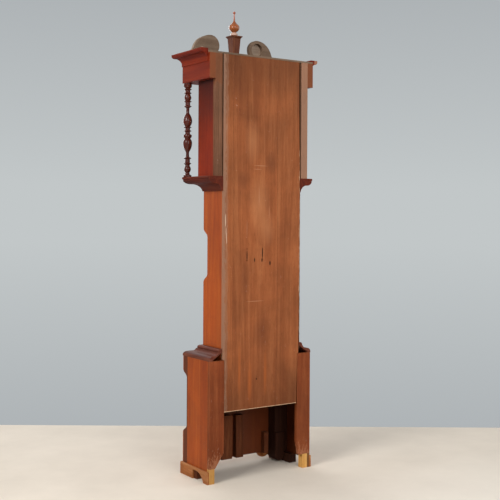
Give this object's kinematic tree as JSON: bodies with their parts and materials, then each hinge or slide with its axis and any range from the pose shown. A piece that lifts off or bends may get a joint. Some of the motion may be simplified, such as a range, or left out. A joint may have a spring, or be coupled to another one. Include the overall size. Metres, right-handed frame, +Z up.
{
  "type": "longcase clock",
  "caption": "Tall wooden longcase clock on bracket feet with hinged trunk door, swan-neck hood, free-standing columns, painted dial, pendulum and weight-driven movement.",
  "frame": {"origin": "on the floor in the middle of the clock's plan", "axes": "+Z up the clock, -Y out of the dial towards the viewer of the time, +X to the hinge side of both doors"},
  "size_m": [0.687, 0.296, 2.3],
  "materials": {
    "mahogany": "french polished, glossy",
    "polished_case": "worn orange-brown polish",
    "raw_pine": "raw, aged brown",
    "new_pine": "raw, new",
    "brass": "dull polish",
    "steel": "satin",
    "blued_steel": "blued",
    "iron": "as cast",
    "gut": "waxed",
    "glass": "clear",
    "dial_paint": "satin white paint"
  },
  "bodies": {
    "case": {"base_front": "polished_case", "base_sides": "polished_case", "rear_stiles": "raw_pine", "foot_blocks": "new_pine", "skirting": "polished_case", "glue_blocks": "raw_pine", "base_moulding": "polished_case", "trunk_sides": "polished_case", "trunk_front": "polished_case", "backboard_left": "raw_pine", "backboard_centre": "raw_pine", "backboard_right": "raw_pine", "throat_moulding": "polished_case", "trunk_hinge_leaves": "brass", "seatboard": "raw_pine", "back_plate": "brass", "front_plate": "brass", "dial": "dial_paint", "bell": "brass", "bell_stand": "steel", "gut_line_going": "gut", "gut_line_strike": "gut"},
    "trunk_door": {"trunk_door": "polished_case", "trunk_door_hinges": "brass", "trunk_door_lock": "brass"},
    "hood": {"hood_floor_frame": "polished_case", "hood_sides": "mahogany", "hood_rear_stiles": "raw_pine", "hood_top_board": "raw_pine", "frieze": "mahogany", "cornice": "mahogany", "scroll_boards": "raw_pine", "scroll_mouldings": "mahogany", "pedestal": "mahogany", "finial": "mahogany", "columns": "mahogany", "hood_hinge_leaves": "brass"},
    "hood_door": {"hood_door_frame": "mahogany", "hood_door_glass": "glass", "hood_door_knob": "brass", "hood_door_hinges": "brass"},
    "centre_arbor": {"centre_wheel": "brass", "minute_hand": "blued_steel"},
    "hour_wheel": {"hour_wheel": "brass", "hour_hand": "blued_steel"},
    "minute_wheel": {"minute_wheel": "brass"},
    "going_great_wheel": {"going_great_wheel": "brass"},
    "third_wheel": {"third_wheel": "brass"},
    "escape_wheel": {"escape_wheel": "brass", "seconds_hand": "blued_steel"},
    "pallets": {"pallets": "steel"},
    "pendulum": {"pendulum_rod": "steel", "pendulum_bob": "brass"},
    "going_barrel": {"going_barrel": "brass"},
    "strike_great_wheel": {"strike_great_wheel": "brass"},
    "hammer": {"hammer": "steel"},
    "weight_going": {"weight_going": "iron"},
    "weight_strike": {"weight_strike": "iron"},
    "pulley_going": {"pulley_going": "brass"},
    "pulley_strike": {"pulley_strike": "brass"}
  },
  "joints": [
    {"name": "hood_slide", "type": "slide", "parent": "case", "child": "hood", "axis": [0, -1, 0], "range_m": [0, 0.3]},
    {"name": "hood_door_hinge", "type": "hinge", "parent": "hood", "child": "hood_door", "pos_m": [0.2275, -0.012, 1.679], "axis": [0, 0, 1], "range_deg": [0, 100]},
    {"name": "trunk_door_hinge", "type": "hinge", "parent": "case", "child": "trunk_door", "pos_m": [0.159, -0.0335, 1.069], "axis": [0, 0, 1], "range_deg": [0, 110]},
    {"name": "centre_arbor_turn", "type": "hinge", "parent": "case", "child": "centre_arbor", "pos_m": [0, 0.048, 1.679], "axis": [0, 1, 0], "continuous": true},
    {"name": "hour_wheel_turn", "type": "hinge", "parent": "case", "child": "hour_wheel", "pos_m": [0, 0.038, 1.679], "axis": [0, 1, 0], "continuous": true},
    {"name": "minute_wheel_turn", "type": "hinge", "parent": "case", "child": "minute_wheel", "pos_m": [0, 0.043, 1.6538], "axis": [0, 1, 0], "continuous": true},
    {"name": "going_great_wheel_turn", "type": "hinge", "parent": "case", "child": "going_great_wheel", "pos_m": [0.0373, 0.095, 1.6676], "axis": [0, 1, 0], "continuous": true},
    {"name": "third_wheel_turn", "type": "hinge", "parent": "case", "child": "third_wheel", "pos_m": [0.01231, 0.078, 1.70701], "axis": [0, 1, 0], "continuous": true},
    {"name": "escape_wheel_turn", "type": "hinge", "parent": "case", "child": "escape_wheel", "pos_m": [0, 0.078, 1.729], "axis": [0, 1, 0], "continuous": true},
    {"name": "pendulum_swing", "type": "hinge", "parent": "case", "child": "pendulum", "pos_m": [0, 0.122, 1.761], "axis": [0, 1, 0], "range_deg": [-3, 3]},
    {"name": "pallet_rock", "type": "hinge", "parent": "case", "child": "pallets", "pos_m": [0, 0.078, 1.761], "axis": [0, 1, 0], "range_deg": [-3, 3]},
    {"name": "weight_going_fall", "type": "slide", "parent": "case", "child": "weight_going", "axis": [0, 0, -1], "range_m": [0, 1.1], "deforming": ["gut_line_going"]},
    {"name": "weight_strike_fall", "type": "slide", "parent": "case", "child": "weight_strike", "axis": [0, 0, -1], "range_m": [0, 1.1], "deforming": ["gut_line_strike"]},
    {"name": "going_barrel_turn", "type": "hinge", "parent": "case", "child": "going_barrel", "pos_m": [0.0373, 0.078, 1.6676], "axis": [0, 1, 0], "range_deg": [-4850, 0]},
    {"name": "strike_great_wheel_turn", "type": "hinge", "parent": "case", "child": "strike_great_wheel", "pos_m": [-0.0373, 0.078, 1.6676], "axis": [0, 1, 0], "range_deg": [0, 4850]},
    {"name": "pulley_going_turn", "type": "hinge", "parent": "weight_going", "child": "pulley_going", "pos_m": [0.039, 0.077, 1.563], "axis": [0, 1, 0], "range_deg": [-2300, 0]},
    {"name": "pulley_strike_turn", "type": "hinge", "parent": "weight_strike", "child": "pulley_strike", "pos_m": [-0.039, 0.077, 1.563], "axis": [0, 1, 0], "range_deg": [0, 2300]},
    {"name": "hammer_lift", "type": "hinge", "parent": "case", "child": "hammer", "pos_m": [-0.058, 0.082, 1.751], "axis": [0, 1, 0], "range_deg": [-15, 0], "stiffness_Nm_per_rad": 0.02, "springref_deg": 11.46}
  ],
  "couplings": [
    {"joint": "hour_wheel_turn", "follows": "centre_arbor_turn", "ratio": 0.083333},
    {"joint": "minute_wheel_turn", "follows": "centre_arbor_turn", "ratio": -1},
    {"joint": "going_great_wheel_turn", "follows": "centre_arbor_turn", "ratio": -0.083333},
    {"joint": "third_wheel_turn", "follows": "centre_arbor_turn", "ratio": -7.5},
    {"joint": "escape_wheel_turn", "follows": "centre_arbor_turn", "ratio": 60},
    {"joint": "pallet_rock", "follows": "pendulum_swing", "ratio": 1},
    {"joint": "going_barrel_turn", "follows": "weight_going_fall", "rad_per_m": -76.046},
    {"joint": "strike_great_wheel_turn", "follows": "weight_strike_fall", "rad_per_m": 76.046},
    {"joint": "pulley_going_turn", "follows": "weight_going_fall", "rad_per_m": -35.714},
    {"joint": "pulley_strike_turn", "follows": "weight_strike_fall", "rad_per_m": 35.714}
  ]
}
